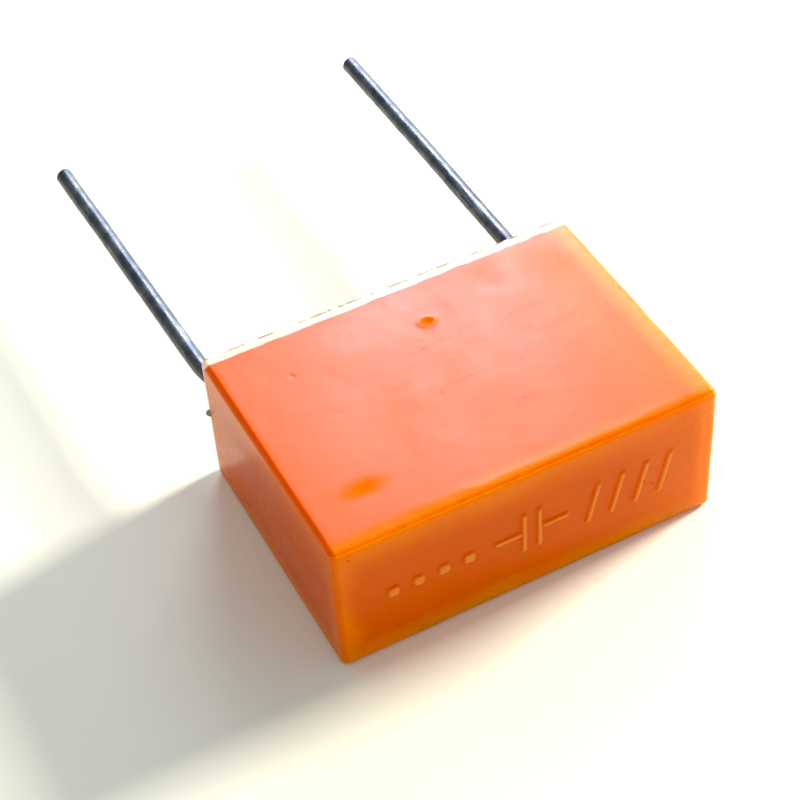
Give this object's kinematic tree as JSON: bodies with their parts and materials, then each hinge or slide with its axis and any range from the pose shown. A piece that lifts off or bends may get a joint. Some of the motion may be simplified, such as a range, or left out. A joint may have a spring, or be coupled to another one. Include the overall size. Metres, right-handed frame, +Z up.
{
  "type": "boxed film capacitor",
  "caption": "Small boxed film capacitor: an orange moulded plastic case filled with resin, with two straight oxidised wire leads out of its open end.",
  "frame": {"origin": "centre of the lower large face, which the part rests on", "axes": "+X along the row of leads, +Y the way the leads point, +Z up out of the upper large face"},
  "size_m": [0.0176, 0.0322, 0.007],
  "materials": {
    "case_plastic": "moulded, satin gloss, slightly translucent orange, scuffed",
    "casting_resin": "cast amber-brown epoxy, glossy with a low meniscus",
    "plain_film": "clear polyester film",
    "metallised_film": "vacuum-metallised film",
    "sprayed_metal": "arc-sprayed zinc and tin, rough and matte",
    "solder": "dull solder",
    "oxidised_wire": "dark oxidised tinned wire, streaked, semi-gloss"
  },
  "bodies": {
    "root": {"case": "case_plastic", "potting_resin": "casting_resin", "winding_core": "plain_film", "film_web_a": "metallised_film", "film_web_b": "metallised_film", "outer_wrap": "plain_film", "end_spray_left": "sprayed_metal", "end_spray_right": "sprayed_metal", "solder_joint_left": "solder", "solder_joint_right": "solder", "lead_left": "oxidised_wire", "lead_right": "oxidised_wire"}
  },
  "joints": []
}
